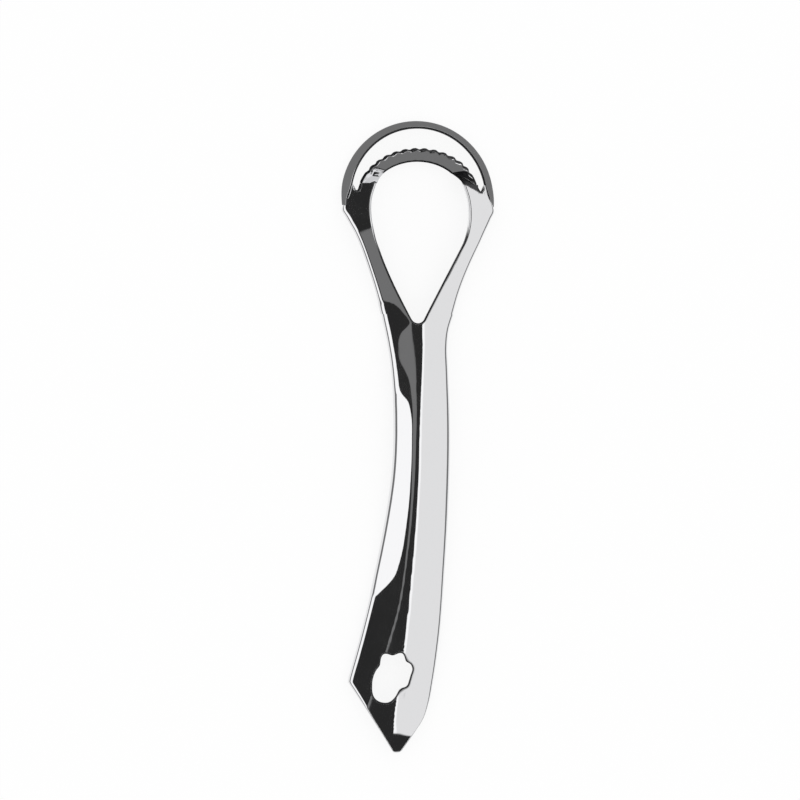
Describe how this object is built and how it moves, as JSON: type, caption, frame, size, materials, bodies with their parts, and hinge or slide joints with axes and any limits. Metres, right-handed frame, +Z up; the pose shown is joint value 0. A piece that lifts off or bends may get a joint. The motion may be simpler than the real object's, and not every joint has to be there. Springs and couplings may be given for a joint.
{
  "type": "tongue scraper",
  "caption": "Pressed steel tongue scraper: a creased handle with a hanging hole forks into a teardrop loop that ends in a smooth arched blade and a serrated blade inside it.",
  "frame": {"origin": "middle of the scraper's outline, on the surface it lies on with the working side up", "axes": "+Y from the pointed handle end to the head, +Z up out of the creased working side, +X to the right as seen from above"},
  "size_m": [0.036, 0.145, 0.0061],
  "materials": {
    "steel": "stainless steel polished to a mirror"
  },
  "bodies": {
    "root": {"handle": "steel", "left_arm": "steel", "right_arm": "steel", "smooth_blade": "steel", "serrated_blade": "steel"}
  },
  "joints": []
}
